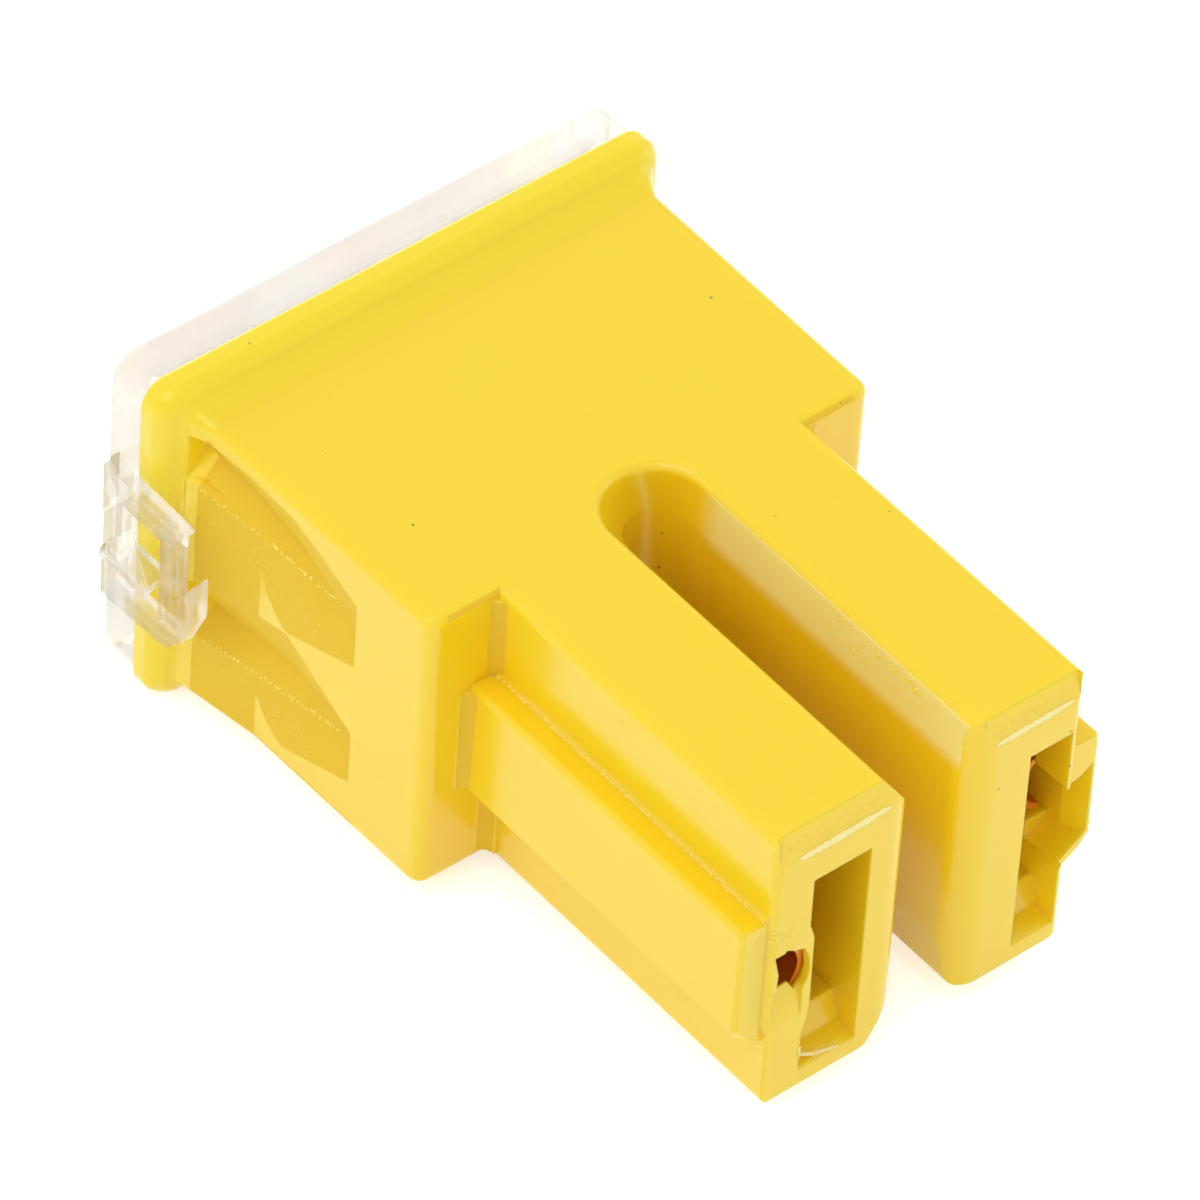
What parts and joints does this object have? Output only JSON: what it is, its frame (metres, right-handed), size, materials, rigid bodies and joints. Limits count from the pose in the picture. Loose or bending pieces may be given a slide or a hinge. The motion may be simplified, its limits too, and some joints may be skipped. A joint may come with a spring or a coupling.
{
  "type": "cartridge fusible link",
  "caption": "Plug-in cartridge fusible link: yellow moulded housing with slotted female terminal legs, a flange and a clear cover held by two latches.",
  "frame": {"origin": "middle of the footprint, on the surface that the fuse lies on", "axes": "+Z is the thickness, +Y runs from the leg tips to the cover, +X is the width"},
  "size_m": [0.02, 0.0254, 0.0123],
  "materials": {
    "yellow_plastic": "satin",
    "clear_plastic": "clear",
    "copper_alloy": "rolled",
    "tin": "dull"
  },
  "bodies": {
    "root": {"housing": "yellow_plastic", "clear_cover": "clear_plastic", "fuse_element": "copper_alloy", "tin_slug": "tin"}
  },
  "joints": []
}
